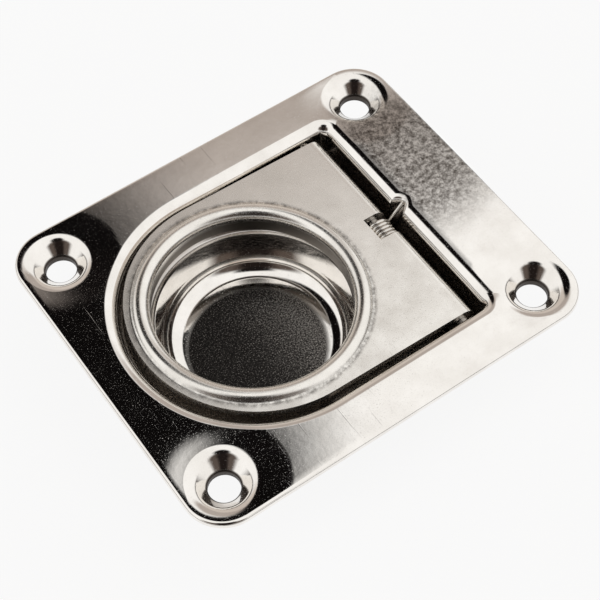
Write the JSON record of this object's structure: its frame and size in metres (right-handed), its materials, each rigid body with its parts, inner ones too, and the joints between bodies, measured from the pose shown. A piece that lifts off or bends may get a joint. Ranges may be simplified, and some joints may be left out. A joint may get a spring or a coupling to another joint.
{
  "type": "flush lift ring",
  "caption": "Spring-closed flush lift ring: pressed rectangular plate with a recessed finger cup and a hinged ring flap, fastened by countersunk screws.",
  "frame": {"origin": "middle of the four screw holes, on the underside of the flange", "axes": "+Z out of the deck, away from the underside; +X towards the hinge, along the plate's long side"},
  "size_m": [0.076, 0.065, 0.0161],
  "materials": {
    "polished_plate": "pressed stainless steel, mirror polished, with fine handling marks",
    "polished_ring": "pressed stainless steel, mirror polished",
    "pin_steel": "drawn stainless steel rod, ends peened",
    "spring_steel": "drawn stainless spring wire"
  },
  "bodies": {
    "plate": {"base_plate": "polished_plate", "hinge_pin": "pin_steel", "torsion_spring": "spring_steel"},
    "ring": {"lift_ring": "polished_ring"}
  },
  "joints": [
    {"name": "ring_hinge", "type": "hinge", "parent": "plate", "child": "ring", "pos_m": [0.0183, 0, -0.00245], "axis": [0, 1, 0], "range_deg": [0, 105], "stiffness_Nm_per_rad": 0.031, "springref_deg": -34.38, "deforming": ["torsion_spring"]}
  ]
}
